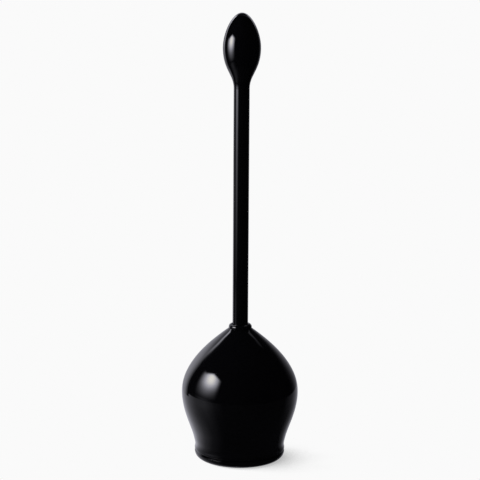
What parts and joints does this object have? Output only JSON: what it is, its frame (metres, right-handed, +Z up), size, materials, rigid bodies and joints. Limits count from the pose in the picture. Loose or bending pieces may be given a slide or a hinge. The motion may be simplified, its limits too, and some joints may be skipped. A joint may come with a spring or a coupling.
{
  "type": "covered toilet plunger",
  "caption": "Toilet plunger on a tubular shaft with an egg-shaped grip, standing in a shallow tray under a bulb-shaped cover that slides up the shaft.",
  "frame": {"origin": "on the floor, on the shaft's axis, under the centre of the tray", "axes": "+Z up along the shaft; the piece is round the Z axis, with the four foot pads on the X and Y axes"},
  "size_m": [0.15, 0.15, 0.5738],
  "materials": {
    "tray_plastic": "gloss",
    "cover_plastic": "gloss",
    "collar_plastic": "gloss",
    "grip_plastic": "gloss",
    "shaft_paint": "gloss",
    "cup_rubber": "satin",
    "pad_rubber": "matte",
    "ring_rubber": "matte",
    "nylon": "matte",
    "steel": "brushed",
    "brass": "satin"
  },
  "bodies": {
    "tray": {"base_tray": "tray_plastic", "foot_pad_front": "pad_rubber", "foot_pad_right": "pad_rubber", "foot_pad_back": "pad_rubber", "foot_pad_left": "pad_rubber"},
    "plunger": {"shaft_tube": "shaft_paint", "tube_top_plug": "nylon", "tube_end_plug": "nylon", "grip_shell": "grip_plastic", "grip_insert": "brass", "grip_stud": "steel", "rubber_cup": "cup_rubber", "cup_washer": "steel", "cup_screw": "steel"},
    "collar": {"collar_bush": "collar_plastic", "friction_ring_upper": "ring_rubber", "friction_ring_lower": "ring_rubber", "collar_washer": "nylon", "collar_nut": "nylon"},
    "cover": {"cover_shell": "cover_plastic"}
  },
  "joints": [
    {"name": "plunger_lift", "type": "slide", "parent": "tray", "child": "plunger", "axis": [0, 0, 1], "range_m": [0, 0.25]},
    {"name": "cover_slide", "type": "slide", "parent": "plunger", "child": "collar", "axis": [0, 0, 1], "range_m": [0, 0.3]},
    {"name": "cover_turn", "type": "hinge", "parent": "collar", "child": "cover", "pos_m": [0, 0, 0.165], "axis": [0, 0, 1], "continuous": true}
  ]
}
